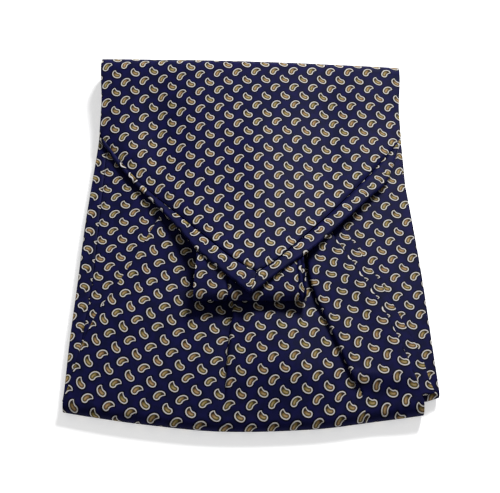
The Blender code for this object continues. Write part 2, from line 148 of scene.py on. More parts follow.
# Edges of the point, from the shoulder to the tip. inner is where the cloth
# ends, and outer is the far edge of the border beyond it.
Edge = namedtuple("Edge", "inner_x inner_y outer_x outer_y")
LEFT_EDGE = (
    Edge(-72.0, 49.7, -73.8, 50.6),
    Edge(-62.4, 36.2, -64.0, 35.0),
    Edge(-53.7, 24.9, -55.3, 23.5),
    Edge(-47.2, 18.1, -49.2, 16.1),
    Edge(-33.1, 3.2, -36.5, -0.1),
    Edge(-17.5, -13.8, -23.0, -19.8),
    Edge(-8.2, -23.8, -13.4, -30.2),
    Edge(3.3, -32.2, 0.2, -43.4),
)
RIGHT_EDGE = (
    Edge(71.5, 45.7, 72.9, 46.4),
    Edge(66.0, 39.3, 69.6, 36.4),
    Edge(58.0, 28.8, 64.6, 23.4),
    Edge(51.0, 20.3, 56.4, 14.2),
    Edge(36.5, 2.8, 41.8, -2.2),
    Edge(21.5, -14.3, 27.2, -18.8),
    Edge(12.0, -25.0, 16.0, -28.9),
    Edge(3.3, -32.2, 0.2, -43.4),
)
SHOULDER_HALF = 74.2
TOP_HALF = 75.8
TOP_ROLL_Y = 90.0
TOP_ROLL_SLANT = -0.04
TOP_ROLL_DEPTH = 7.6
SHOULDER_Y = 52.0
SHOULDER_SLANT = -1.3
UNDERSIDE_SEAM = -58.0
UNDERSIDE_BACK = 74.0
UNDERSIDE_RETURN = UNDERSIDE_SEAM - SEAM_GAP

# The neckband's upper and lower ply, which meet in its rounded fold.
Band = namedtuple("Band", "y upper lower")
NECKBAND = (
    Band(2.0, 13.4, 11.6),
    Band(-10.0, 15.1, 12.0),
    Band(-24.0, 17.7, 12.9),
    Band(-32.0, 18.4, 13.2),
    Band(-39.4, 18.3, 13.3),
)
NECKBAND_TOP = 2.0
NECKBAND_HALF_TOP = 24.0
NECKBAND_HALF_FOLD = 24.9
NECKBAND_FOLD_DEPTH = 4.5
NECKBAND_WIDENS_AT = -20.0
NECKBAND_WIDENS_OVER = 24.0
TUCKS_START_AT = -2.0
TUCKS_START_OVER = 14.0
TUCK_REACH = 1.2

# Pleats pressed into the neckband: place across, width and depth of each, and how
# much of the cloth it hides.
Tuck = namedtuple("Tuck", "x width depth hides")
NECKBAND_TUCKS = (
    Tuck(-9.4, 0.7, 1.3, 2.9),
    Tuck(20.8, 0.6, 0.9, 2.4),
    Tuck(22.8, 0.5, 0.8, 2.0),
)

# A pleat's fold turns on this radius, measured to the middle of the cloth.
TURN_RADIUS = 0.75
TURN_STEPS = 8
TURN_LEAST_LENGTH = 1.4
PLEAT_DEPTH = 6.5
PLEAT_DEPTH_TOP = 2.4
PLEAT_OPENS_AT = -66.0
PLEAT_FLAT_AT = -89.0
PLEAT_LEAST_DEPTH = 0.7
PLEAT_DEEPENS_AT = -4.0
PLEAT_DEEPENS_OVER = 24.0
HEM_DEPTH = 3.4
HEM_SHORTENS_AT = -48.0
HEM_CHANGE = 16.0
FAN_RISE_RIGHT = 4 * TURN_RADIUS
FAN_RISE_AT_FOLD = 1.7
VALLEY_RISE = 0.8
VALLEY_WIDTH = 4.5
VALLEY_STEP = 2.7
VALLEY_STEP_WIDTH = 0.6
VALLEY_FADES_AT = -97.0
VALLEY_FADES_OVER = 26.0
VALLEY_STARTS_AT = -30.0
VALLEY_STARTS_OVER = 14.0
VALLEY_SIDE_FADE = 26.0

# The print's repeats that the valley hides, and where it joins again below it.
VALLEY_HIDES = (7, -1)
VALLEY_JOINS_AT = -66.0
VALLEY_JOIN_WIDTH = 14.0
VALLEY_JOINS_OVER = 24.0
VALLEY_LEAST_JOIN = 1.5

# The solid of hidden layers, the grooves along its sides, and how its print leans
# and moves on from layer to layer there, in repeats.
CORE_FRONT = -70.0
CORE_BACK = 94.5
CORE_ROUND = 7.0
CORE_END_SQUEEZE = 0.6
CORE_INSET = 2.6
CORE_LAYERS = 5
CORE_GROOVE = 1.3
CORE_CORNER = 1.2
CORE_TOP_POINTS = 24
CORE_LAYER_POINTS = 8
CORE_SIDE_LEAN = 2.2
CORE_SHIFT_RIGHT = 0.61
CORE_SHIFT_LEFT = 0.43
CORE_SHIFT_ALONG = 0.37

# The border round the point is a soft roll: the radius of its outer edge, how
# far its cloth returns beneath, and how deep its inner edge tucks in.
ROLL_RADIUS = 0.5
ROLL_RETURN = 2.4
ROLL_TUCK = 2.1
ROLL_SLOPE = 2.2
ROLL_LEAST_FLAT = 1.2
ROLL_FULL_WIDTH = 4.0
TIP_CLEARANCE = 0.12
FLAP_EDGE_DROP = 0.45
FLAP_EDGE_WIDTH = 1.6

# How the print lies on each stretch: the place of one leaning motif, the repeat
# across and along, how far its rows and its columns turn, in degrees, and how the
# rows bow and flare, the columns sweep and the rows stretch, in repeats at PRINT_REACH.
PRINT_PARTS = "x y across along rows columns bow flare sweep stretch"
Print = namedtuple("Print", PRINT_PARTS, defaults=(0.0, 0.0, 0.0, 0.0))
PRINT_REACH = 100.0
FLAP_PRINT = Print(4.0, 25.5, 9.4, 10.7, -3.5, -1.0, -0.5, -0.5, 0.2, 0.7)
LEFT_FAN_PRINT = Print(-43.0, -4.0, 9.8, 10.1, 18.0, 14.5, 2.5, -2.5, -0.5, -0.5)
MIDDLE_FAN_PRINT = Print(19.5, -19.0, 9.4, 10.2, -7.0, -0.5, 1.5, 1.0, 1.5)
RIGHT_FAN_PRINT = Print(51.5, 11.0, 9.3, 10.1, -24.0, -24.5, -2.5, -1.0, 2.0, 1.0)
RIGHT_PLEAT_PRINT = Print(60.0, 10.5, 9.4, 10.1, -21.0, -23.5, 0.0, 0.0, 1.5)
LOWER_LEFT_PRINT = Print(-64.0, 27.5, 9.5, 9.7, -2.0, 0.5)
LOWER_RIGHT_PRINT = Print(65.0, 22.0, 9.3, 9.8, -6.5, -2.5)
NECKBAND_PRINT = Print(15.5, -4.0, 9.2, 9.3, 2.0, 0.0)
BORDER_LEFT_PRINT = Print(-16.5, -20.0, 8.6, 10.3, 180.0, 180.0, 0.0, 5.5, -0.5)
BORDER_RIGHT_PRINT = Print(41.0, 2.0, 8.9, 9.4, 180.0, 180.0, 0.0, 3.0, -3.5)
SIDE_BORDER_PRINT = Print(-70.0, -7.5, 9.4, 10.0, 180.0, 180.0)
FLAP_PRINT_Y = 20.0
FAN_PRINT_Y = -60.0
LOWER_PRINT_Y = -30.0
NECKBAND_PRINT_Y = -30.0

# Soft creases: the two ends of each, its half width and its depth, with a
# ridge below nought.
Crease = namedtuple("Crease", "x1 y1 x2 y2 width depth")
FLAP_CREASES = (
    Crease(-48.0, 96.0, -40.0, 0.0, 12.0, 2.3),
    Crease(46.0, 96.0, 28.0, -4.0, 11.0, 1.8),
    Crease(4.0, 72.0, 4.0, -20.0, 11.0, -1.3),
    Crease(-60.0, 66.0, -34.0, 40.0, 8.0, 0.3),
    Crease(-88.0, 67.0, -16.0, -19.0, 4.2, 1.3),
)
FAN_CREASES = (
    Crease(-20.0, -30.0, -52.0, -84.0, 7.0, 0.5),
    Crease(-26.0, -22.0, -66.0, -66.0, 6.0, -0.35),
    Crease(4.0, -46.0, 6.0, -82.0, 6.0, -0.4),
    Crease(20.0, -46.0, 30.0, -80.0, 5.0, 0.3),
    Crease(40.0, -26.0, 58.0, -74.0, 6.0, 0.35),
    Crease(-44.0, -44.5, 44.0, -44.5, 3.2, 1.0),
)
LOWER_CREASES = (
    Crease(-66.0, 34.0, -62.0, -16.0, 5.0, 0.3),
    Crease(66.0, 22.0, 72.0, -40.0, 5.0, 0.35),
)

# How soon a crease fades in from its ends.
CREASE_FADE = 2.5

UV_NAME = "print"
PLEAT_STEP = 0.5


def smooth_step(value):
    """Return 0 below 0, 1 above 1 and a soft step between them."""
    value = min(1.0, max(0.0, value))
    return value * value * (3.0 - 2.0 * value)


def soft_blend(start, end, out_slope, in_slope, part):
    """Return a point of the cubic that has these ends and slopes."""
    bend = 3 * (end - start) - 2 * out_slope - in_slope
    twist = 2 * (start - end) + out_slope + in_slope
    return start + part * out_slope + part ** 2 * bend + part ** 3 * twist


def rows_near(rows, first):
    """Return four rows: the one before the first, it, and the two after it."""
    return [rows[max(0, min(len(rows) - 1, first + step))] for step in (-1, 0, 1, 2)]


def blend_rows(near, part, out_span, in_span):
    """Return a row between the middle two of four, which stand these spans apart."""
    values = []
    for before, start, end, after in zip(*near):
        out_slope = (end - before) / out_span
        in_slope = (after - start) / in_span
        values.append(soft_blend(start, end, out_slope, in_slope, part))
    return type(near[0])(*values)


def read_row(rows, place):
    """Return the row at a place counted in rows, on a smooth curve through them."""
    place = min(max(place, 0.0), len(rows) - 1.0)
    first = min(int(place), len(rows) - 2)
    return blend_rows(rows_near(rows, first), place - first, 2.0, 2.0)


def row_at(rows, key):
    """Return the row at a value of its first column, on a smooth curve."""
    if rows[0][0] > rows[-1][0]:
        rows = rows[::-1]
    key = min(max(key, rows[0][0]), rows[-1][0])
    first = max(index for index in range(len(rows) - 1) if rows[index][0] <= key)
    near = rows_near(rows, first)
    keys = [row[0] for row in near]
    span = keys[2] - keys[1]
    out_span = (keys[2] - keys[0]) / span
    in_span = (keys[3] - keys[1]) / span
    return blend_rows(near, (key - keys[1]) / span, out_span, in_span)


def crease_drop(creases, x, y):
    """How far soft creases lower the cloth at a place."""
    drop = 0.0
    for crease in creases:
        run_x = crease.x2 - crease.x1
        run_y = crease.y2 - crease.y1
        length = math.hypot(run_x, run_y)
        along = ((x - crease.x1) * run_x + (y - crease.y1) * run_y) / length
        aside = ((x - crease.x1) * run_y - (y - crease.y1) * run_x) / length
        part = along / length
        fade = smooth_step(part * CREASE_FADE) * smooth_step((1.0 - part) * CREASE_FADE)
        drop += crease.depth * fade * math.exp(-(aside / crease.width) ** 2)
    return drop


def lower_top(x, y):
    """Height of the lower blade's upper face."""
    level = row_at(LEVELS, y)
    crown = max(0.0, 1.0 - (x / CROWN_HALF_WIDTH) ** 2)
    return level.side + (level.middle - level.side) * crown


def flap_top(x, y):
    """Height of the pointed end's upper face."""
    level = row_at(LEVELS, y)
    drop = crease_drop(FLAP_CREASES, x, y)
    return level.flap - level.drop * (x / CROWN_HALF_WIDTH) ** 2 - drop


def spread(first, last, count):
    """Return evenly spaced numbers, with both ends."""
    return [first + (last - first) * step / (count - 1) for step in range(count)]


def half_turn(count):
    """Return the angles of a fold from its upper to its lower side, without ends."""
    return [math.pi * (step + 1) / (count + 1) for step in range(count)]


def round_fold(edge_y, upper, lower, depth, angle):
    """Place a point of a fold that turns under: its y and z."""
    middle = (upper + lower) / 2
    y = edge_y + math.sin(angle) * depth
    return y, middle + (upper - lower) / 2 * math.cos(angle)


def fold_under(front, low, depth, count):
    """Return the rows of a fold that turns the front row under, down to a height."""
    rows = []
    for angle in half_turn(count) + [math.pi]:
        row = []
        for x, y, z in front:
            row.append((x, *round_fold(y, z, low, -depth, angle)))
        rows.append(row)
    return rows


def cloth_lengths(rows, start_y):
    """Return how far along the cloth each point lies from start_y on its upper side."""
    lengths = [[0.0] * len(rows[0]) for _ in rows]
    for column in range(len(rows[0])):
        crossings = [(0.0, 0.0)]
        for index in range(1, len(rows)):
            _, y1, z1 = rows[index - 1][column]
            _, y2, z2 = rows[index][column]
            run = math.hypot(y2 - y1, z2 - z1)
            lengths[index][column] = lengths[index - 1][column] + run
            if y1 != y2 and min(y1, y2) <= start_y <= max(y1, y2):
                part = (start_y - y1) / (y2 - y1)
                crossings.append((z1, lengths[index - 1][column] + run * part))
        _, start = max(crossings)
        for index in range(len(rows)):
            lengths[index][column] -= start
    return lengths


def neckband_width(x):
    """Return how far across the neckband's flat cloth a place lies."""
    hidden = 0.0
    for tuck in NECKBAND_TUCKS:
        hidden += tuck.hides * smooth_step((x - tuck.x) / (2 * tuck.width) + 0.5)
    return x + hidden


def print_place(layout, x, length):
    """Return a place on the cloth counted in repeats of the print."""
    across = x - layout.x
    along = length - layout.y
    rows = math.radians(layout.rows)
    columns = math.radians(layout.columns)
    spin = math.cos(rows - columns)
    u = (across * math.cos(columns) - along * math.sin(columns)) / (spin * layout.across)
    v = (across * math.sin(rows) + along * math.cos(rows)) / (spin * layout.along)
    across /= PRINT_REACH
    along /= PRINT_REACH
    u += layout.sweep * along ** 2
    v += layout.stretch * along ** 2
    v -= layout.bow * across ** 2 + layout.flare * across * along
    return u, v


def to_metres(x, y, z):
    """Turn a point of the tables into a point of the scene."""
    return (x - MIDDLE_X) * MM, (y - MIDDLE_Y) * MM, z * MM


def add_object(context, name, builder):
    """Turn a bmesh into an object of the scene."""
    mesh = bpy.data.meshes.new(name)
    builder.to_mesh(mesh)
    builder.free()
    piece = bpy.data.objects.new(name, mesh)
    context.scene.collection.objects.link(piece)
    return piece


def cloth_sheet(context, node, rows, place):
    """Make a shell of cloth from a grid of points in its middle, good side up.

    Rows run up the cloth and points to the right. place gives the print's place
    at a row and a column, for a face that starts at another column.
    """
    cloth = context.scene.cravat_cloth
    builder = bmesh.new()
    print_layer = builder.loops.layers.uv.new(UV_NAME)
    grid = [[builder.verts.new(to_metres(*point)) for point in row] for row in rows]
    for index in range(len(rows) - 1):
        for column in range(len(rows[0]) - 1):
            corners = ((index, column), (index, column + 1), (index + 1, column + 1),
                       (index + 1, column))
            face = builder.faces.new([grid[row][point] for row, point in corners])
            face.smooth = True
            for loop, (row, point) in zip(face.loops, corners):
                loop[print_layer].uv = place(row, point, column)
    piece = add_object(context, node + "_silk", builder)
    wall = piece.modifiers.new("cloth", "SOLIDIFY")
    wall.thickness = cloth.thickness
    wall.offset = 0.0
    edge = piece.modifiers.new("soft edge", "BEVEL")
    edge.width = cloth.thickness * cloth.edge_round
    edge.segments = 3
    edge.limit_method = "ANGLE"
    edge.angle_limit = math.radians(60)
    return piece


def laid_sheet(context, node, rows, start_y, layout_at, width_at=float):
    """Make a shell from rows that run down the cloth, printed along its length.

    layout_at gives the print's layout for a face's column, and width_at how far
    across the flat cloth a place lies.
    """
    rows.reverse()
    lengths = cloth_lengths(rows, start_y)

    def place(row, column, face_column):
        width = width_at(rows[row][column][0])
        return print_place(layout_at(face_column), width, lengths[row][column])

    return cloth_sheet(context, node, rows, place)


def dress(context, piece, node):
    """Give a piece its silk, and say what it replaces and rides on."""
    piece.data.materials.append(printed_silk(context, node))
    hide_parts(node)
    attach(piece, "root")


def dress_sheet(context, piece, node):
    """Dress a sheet of cloth."""
    dress(context, piece, node)


class Value:
    """A number in a shader. Each operation on it adds a Math node."""

    def __init__(self, shader, socket):
        self.shader = shader
        self.socket = socket

    def math(self, operation, *others):
        """Add one Math node with this number and up to two others."""
        inputs = dict(enumerate((self, *others)))
        node = self.shader.node("ShaderNodeMath", {"operation": operation}, inputs)
        return Value(self.shader, node.outputs[0])

    def reflected(self, operation, other):
        """Add one Math node that has the other number first."""
        node = self.shader.node("ShaderNodeMath", {"operation": operation}, {0: other, 1: self})
        return Value(self.shader, node.outputs[0])

    def __add__(self, other):
        return self.math("ADD", other)

    def __sub__(self, other):
        return self.math("SUBTRACT", other)

    def __rsub__(self, other):
        return self.reflected("SUBTRACT", other)

    def __mul__(self, other):
        return self.math("MULTIPLY", other)

    def __truediv__(self, other):
        return self.math("DIVIDE", other)

    def step(self, low, high):
        """Return a soft step from 0 at low to 1 at high."""
        settings = {"interpolation_type": "SMOOTHSTEP"}
        inputs = {"Value": self, "From Min": low, "From Max": high}
        return self.shader.value("ShaderNodeMapRange", settings, inputs)


class Shader:
    """Builds the nodes of one material."""

    def __init__(self, name):
        self.material = bpy.data.materials.new(name)
        self.material.use_nodes = True
        self.tree = self.material.node_tree
        self.surface = self.tree.nodes["Principled BSDF"]

    def node(self, kind, settings, inputs):
        """Add a node: its settings are set first, then the values or links of its sockets."""
        node = self.tree.nodes.new(kind)
        for name, setting in settings.items():
            setattr(node, name, setting)
        for key, value in inputs.items():
            self.feed(node.inputs[key], value)
        return node

    def feed(self, socket, value):
        """Link a socket to another, or set it to a plain value."""
        if isinstance(value, Value):
            value = value.socket
        if isinstance(value, bpy.types.NodeSocket):
            self.tree.links.new(value, socket)
        else:
            socket.default_value = value

    def value(self, kind, settings, inputs, output=0):
        """Add a node and return one of its numbers."""
        return Value(self, self.node(kind, settings, inputs).outputs[output])

    def mix(self, first, second, factor):
        """Mix two colours."""
        settings = {"data_type": "RGBA"}
        inputs = {"Factor": factor, 6: first, 7: second}
        return self.node("ShaderNodeMix", settings, inputs).outputs[2]

    def set_surface(self, **inputs):
        """Set or link the surface's own sockets, with _ for a space."""
        for name, value in inputs.items():
            self.feed(self.surface.inputs[name.replace("_", " ")], value)


# The motif: a curved drop on an arc. Its arc's centre and radius, the angles of
# its round end and its tip, the half width of its round end, and its inks.
ARC_X = 1.1
ARC_Y = -1.05
ARC_RADIUS = 2.0
ARC_BULB = 174.0
ARC_TIP = 50.0
BULB_HALF_WIDTH = 1.45
OUTLINE_WIDTH = 0.47
RING_WIDTH = 0.26
STREAK_HALF_WIDTH = 0.2
INK_EDGE = 0.08
INK_WANDER = 0.012
HALO_WIDTH = 1.1

# The silk: how fine its noises are, in repeats, how strong its weave shows, and
# its finish.
WANDER_SCALE = 14.0
THREAD_SCALE = 60.0
DYE_SCALE = 2.3
WEAVE_STRENGTH = 0.25
WEAVE_HEIGHT = 0.06 * MM
SILK_ROUGHNESS = 0.48
SILK_SPECULAR = 0.02


def motif_distance(x, y):
    """Return how far a place is from the edge and from the spine of the motif, in mm.

    The third number is the part of the spine nearest to it, from the round end.
    """
    middle = math.radians((ARC_BULB + ARC_TIP) / 2)
    reach = math.radians((ARC_BULB - ARC_TIP) / 2)
    x = x - ARC_X
    y = y - ARC_Y
    ahead = x * math.cos(middle) + y * math.sin(middle)
    aside = y * math.cos(middle) - x * math.sin(middle)
    angle = aside.math("ARCTAN2", ahead).math("MINIMUM", reach).math("MAXIMUM", -reach)
    part = (reach - angle) / (2 * reach)
    from_arc_x = ahead - angle.math("COSINE") * ARC_RADIUS
    from_arc_y = aside - angle.math("SINE") * ARC_RADIUS
    distance = (from_arc_x * from_arc_x + from_arc_y * from_arc_y).math("SQRT")
    width = (1.0 - part * part * part * part) * BULB_HALF_WIDTH
    return distance - width, distance, part


def motif_place(across, along, repeat):
    """Return the place in mm in the nearest motif, turned as that motif is."""
    first_x = (across + 0.5).math("FRACT") - 0.5
    first_y = (along + 0.5).math("FRACT") - 0.5
    second_x = across.math("FRACT") - 0.5
    second_y = along.math("FRACT") - 0.5
    turned = (first_x.math("ABSOLUTE") + first_y.math("ABSOLUTE")).math("GREATER_THAN", 0.5)
    plain = 1.0 - turned
    x = first_x * plain * repeat[0] + second_y * turned * repeat[1]
    y = first_y * plain * repeat[1] - second_x * turned * repeat[0]
    return x, y


def printed_silk(context, node):
    """Silk twill with its print: a curved drop, and the same drop turned a quarter."""
    name = node + "_printed_silk"
    colors = context.scene.cravat_print
    cloth = context.scene.cravat_cloth
    repeat = (colors.repeat_across / MM, colors.repeat_along / MM)
    shader = Shader(name)
    place = shader.node("ShaderNodeUVMap", {"uv_map": UV_NAME}, {}).outputs["UV"]
    split = shader.node("ShaderNodeSeparateXYZ", {}, {"Vector": place})
    across = Value(shader, split.outputs["X"])
    along = Value(shader, split.outputs["Y"])

    wander = shader.node("ShaderNodeTexNoise", {"noise_dimensions": "2D"},
                         {"Vector": place, "Scale": WANDER_SCALE, "Detail": 2.0})
    wander = shader.node("ShaderNodeSeparateColor", {}, {"Color": wander.outputs["Color"]})
    wander_x = Value(shader, wander.outputs[0])
    wander_y = Value(shader, wander.outputs[1])
    ink_across = across + (wander_x - 0.5) * INK_WANDER
    ink_along = along + (wander_y - 0.5) * INK_WANDER

    x, y = motif_place(ink_across, ink_along, repeat)
    edge, spine, part = motif_distance(x, y)
    outline = 1.0 - edge.step(-INK_EDGE, INK_EDGE)
    ring_edge = -OUTLINE_WIDTH
    ring = 1.0 - edge.step(ring_edge - INK_EDGE, ring_edge + INK_EDGE)
    core_edge = -OUTLINE_WIDTH - RING_WIDTH
    core = 1.0 - edge.step(core_edge - 2 * INK_EDGE, core_edge + INK_EDGE)
    core = core * (1.0 - part.step(0.45, 0.62))
    streak = 1.0 - spine.step(STREAK_HALF_WIDTH - INK_EDGE, STREAK_HALF_WIDTH + 2 * INK_EDGE)
    streak = streak * core * (1.0 - part.step(0.2, 0.5))
    halo = (1.0 - outline) * (1.0 - edge.step(0.1, HALO_WIDTH))

    threads = shader.value("ShaderNodeTexNoise", {"noise_dimensions": "2D"},
                           {"Vector": place, "Scale": THREAD_SCALE, "Detail": 3.0})
    dye = shader.value("ShaderNodeTexNoise", {"noise_dimensions": "2D"},
                       {"Vector": place, "Scale": DYE_SCALE, "Detail": 2.0})
    twill = (across * repeat[0] + along * repeat[1]) * (2 * math.pi / (cloth.twill_pitch / MM))
    twill = twill.math("SINE") * 0.5 + 0.5

    # Lighter navy here is random dye and thread tone, with painted sheen on the crowns of the
    # twill's ribs.
    ground = shader.mix((*colors.ground, 1.0), (*colors.ground_tone_and_sheen, 1.0),
                        dye.step(0.3, 0.7) * 0.5 + threads.step(0.3, 0.75) * 0.3 + twill * 0.2)
    gold = shader.mix((*colors.core, 1.0), (*colors.olive, 1.0), dye.step(0.35, 0.65))
    color = shader.mix(ground, (*colors.halo, 1.0), halo)
    color = shader.mix(color, (*colors.outline, 1.0), outline)
    color = shader.mix(color, (*colors.ring, 1.0), ring)
    color = shader.mix(color, gold, core)
    color = shader.mix(color, (*colors.streak, 1.0), streak * 0.8)

    height = twill * 0.5 + threads * 0.3 + outline * 0.2
    bump = shader.node("ShaderNodeBump", {}, {"Height": height, "Strength": WEAVE_STRENGTH,
                                              "Distance": WEAVE_HEIGHT})
    roughness = outline * 0.1 + threads * 0.08 + SILK_ROUGHNESS
    shader.set_surface(Base_Color=color, Roughness=roughness, Normal=bump.outputs["Normal"],
                       Metallic=0.0, Specular_IOR_Level=SILK_SPECULAR)
    return shader.material


def build_pointed_end(context):
    """The pointed end: along the underside, round the top fold, down to the tip."""
    # Two more columns stand close to each edge, where the cloth drops.
    columns = spread(-1.0, 1.0, 71)
    columns[1:1] = [-0.995, -0.985]
    columns[-1:-1] = [0.985, 0.995]

    def roll_y(x):
        return TOP_ROLL_Y + TOP_ROLL_SLANT * x

    rows = []
    for y in spread(UNDERSIDE_SEAM, UNDERSIDE_BACK, 24):
        rows.append([(place * TOP_HALF, y, HALF_CLOTH) for place in columns])
    for angle in [math.pi] + half_turn(19)[::-1]:
        row = []
        for place in columns:
            x = place * TOP_HALF
            top = flap_top(x, TOP_ROLL_Y) - HALF_CLOTH
            y, z = round_fold(roll_y(x), top, HALF_CLOTH, TOP_ROLL_DEPTH, angle)
            row.append((x, y, z))
        rows.append(row)
    for part in spread(0.0, 1.0, 21):
        half = TOP_HALF + (SHOULDER_HALF - TOP_HALF) * smooth_step(part * 1.6)
        row = []
        for place in columns:
            x = place * half
            end_y = SHOULDER_Y + SHOULDER_SLANT * place
            y = roll_y(x) + (end_y - roll_y(x)) * part
            row.append((x, y, flap_top(x, y) - HALF_CLOTH))
        rows.append(row)
    for step in spread(0.0, len(LEFT_EDGE) - 1.04, 56):
        left = read_row(LEFT_EDGE, step)
        right = read_row(RIGHT_EDGE, step)
        row = []
        for place in columns:
            part = (place + 1.0) / 2
            x = left.inner_x + (right.inner_x - left.inner_x) * part
            y = left.inner_y + (right.inner_y - left.inner_y) * part
            inside = min(part, 1.0 - part) * (right.inner_x - left.inner_x)
            drop = FLAP_EDGE_DROP * smooth_step(1.0 - inside / FLAP_EDGE_WIDTH)
            row.append((x, y, flap_top(x, y) - HALF_CLOTH - drop))
        rows.append(row)
    return laid_sheet(context, "pointed_end", rows, FLAP_PRINT_Y, lambda _: FLAP_PRINT)


def border_section(width):
    """Return the border's section: how far out and how far below the cloth's middle."""
    flat_end = max(width - ROLL_RADIUS, ROLL_LEAST_FLAT)
    slope = min(ROLL_SLOPE, flat_end - 0.1)
    tuck = ROLL_TUCK * min(1.0, width / ROLL_FULL_WIDTH)
    points = [(-0.5, tuck + 0.3), (-0.1, tuck)]
    points += [(slope * part, tuck * (1.0 - part) ** 2) for part in (0.2, 0.4, 0.6, 0.8)]
    points += [(out, 0.0) for out in spread(slope, flat_end, 8)]
    for angle in half_turn(9):
        points.append((flat_end + ROLL_RADIUS * math.sin(angle),
                       ROLL_RADIUS * (1.0 - math.cos(angle))))
    for back in spread(0.0, ROLL_RETURN, 5):
        points.append((flat_end - back, 2 * ROLL_RADIUS))
    return points


def section_lengths(section):
    """Return how far out each point of a section lies on the cloth laid flat."""
    lengths = [0.0]
    for start, end in zip(section, section[1:]):
        lengths.append(lengths[-1] + math.dist(start, end))
    level = next(index for index, point in enumerate(section) if point[1] == 0.0)
    return [length - lengths[level] + section[level][0] for length in lengths]


def build_tip_border(context, node, edges, layout):
    """One side of the border round the point, a soft roll beyond its seam."""
    rows = []
    flat_rows = []
    side = math.copysign(1.0, edges[0].inner_x)
    for step in spread(0.0, len(edges) - 1.0, 90):
        edge = read_row(edges, step)
        width = math.hypot(edge.outer_x - edge.inner_x, edge.outer_y - edge.inner_y)
        out_x = (edge.outer_x - edge.inner_x) / width
        out_y = (edge.outer_y - edge.inner_y) / width
        row = []
        section = border_section(width)
        flat_rows.append([(edge.inner_x + out_x * length, edge.inner_y + out_y * length)
                          for length in section_lengths(section)])
        for out, below in section:
            x = edge.inner_x + out_x * out
            y = edge.inner_y + out_y * out
            if side * (x - edge.inner_x) < -abs(out_x) or step > len(edges) - 1.2:
                x += side * TIP_CLEARANCE
            row.append((x, y, flap_top(x, y) - HALF_CLOTH - below))
        rows.append(row)
    if side < 0:
        rows = [row[::-1] for row in rows]
        flat_rows = [row[::-1] for row in flat_rows]
    rows.reverse()
    flat_rows.reverse()

    def place(row, column, _):
        return print_place(layout, *flat_rows[row][column])

    return cloth_sheet(context, node, rows, place)


def turn_path(moves):
    """Walk along a fold seen from its end: each move is a length and a turn."""
    x, z, heading = 0.0, 0.0, 0.0
    points = [(x, z)]
    for length, turn in moves:
        heading += turn / 2
        x += length * math.cos(heading)
        z += length * math.sin(heading)
        heading += turn / 2
        points.append((x, z))
    return points


def turn_moves(angle):
    """Split one turn of a pleat into short steps."""
    length = max(TURN_RADIUS * abs(angle), TURN_LEAST_LENGTH) / TURN_STEPS
    return [(length, angle / TURN_STEPS)] * TURN_STEPS


def fan_layer(x, y):
    """Height of the middle of the first ply of the fan."""
    return lower_top(x, y) + SEAM_GAP + HALF_CLOTH


def valley_rise(x, y, fan):
    """How far the cloth swells beside the valley, where the middle panel overlaps."""
    along = smooth_step((y - VALLEY_FADES_AT) / VALLEY_FADES_OVER)
    along *= smooth_step((VALLEY_STARTS_AT - y) / VALLEY_STARTS_OVER)
    aside = x - fan.valley
    if aside < 0.0:
        to_left = smooth_step((x - fan.left_edge) / VALLEY_SIDE_FADE)
        return VALLEY_RISE * along * to_left * (1.0 - math.exp(-(aside / VALLEY_WIDTH) ** 2))
    to_right = smooth_step((fan.pleat + 2.0 - x) / VALLEY_SIDE_FADE)
    return VALLEY_STEP * along * to_right * (1.0 - math.exp(-(aside / VALLEY_STEP_WIDTH) ** 2))


# Points across each stretch of the fan: left panel, valley, middle panel, the
# straight part of the pleat, right panel and the hem's straight part.
LEFT_POINTS = 30
VALLEY_POINTS = 21
MIDDLE_POINTS = 20
PLEAT_POINTS = 3
RIGHT_POINTS = 22
HEM_POINTS = 3

# The columns where the pleat's first turn starts, where the right panel's own turn
# starts and ends, and where the hem's turn starts.
PLEAT_START = LEFT_POINTS + VALLEY_POINTS - 2 + MIDDLE_POINTS
RIGHT_START = PLEAT_START + TURN_STEPS + PLEAT_POINTS
RIGHT_FLAT = RIGHT_START + TURN_STEPS
HEM_START = RIGHT_FLAT + RIGHT_POINTS - 1


def add_widths(points):
    """Add to each point of the fan's section how far across the flat cloth it lies."""
    widths = [x for x, z in points]
    for index in range(PLEAT_START + 1, RIGHT_START):
        widths[index] = widths[index - 1] + math.dist(points[index - 1], points[index])
    for index in range(RIGHT_FLAT - 1, RIGHT_START - 1, -1):
        widths[index] = widths[index + 1] - math.dist(points[index + 1], points[index])
    for index in range(HEM_START + 1, len(points)):
        widths[index] = widths[index - 1] + math.dist(points[index - 1], points[index])
    return [(x, z, width) for (x, z), width in zip(points, widths)]


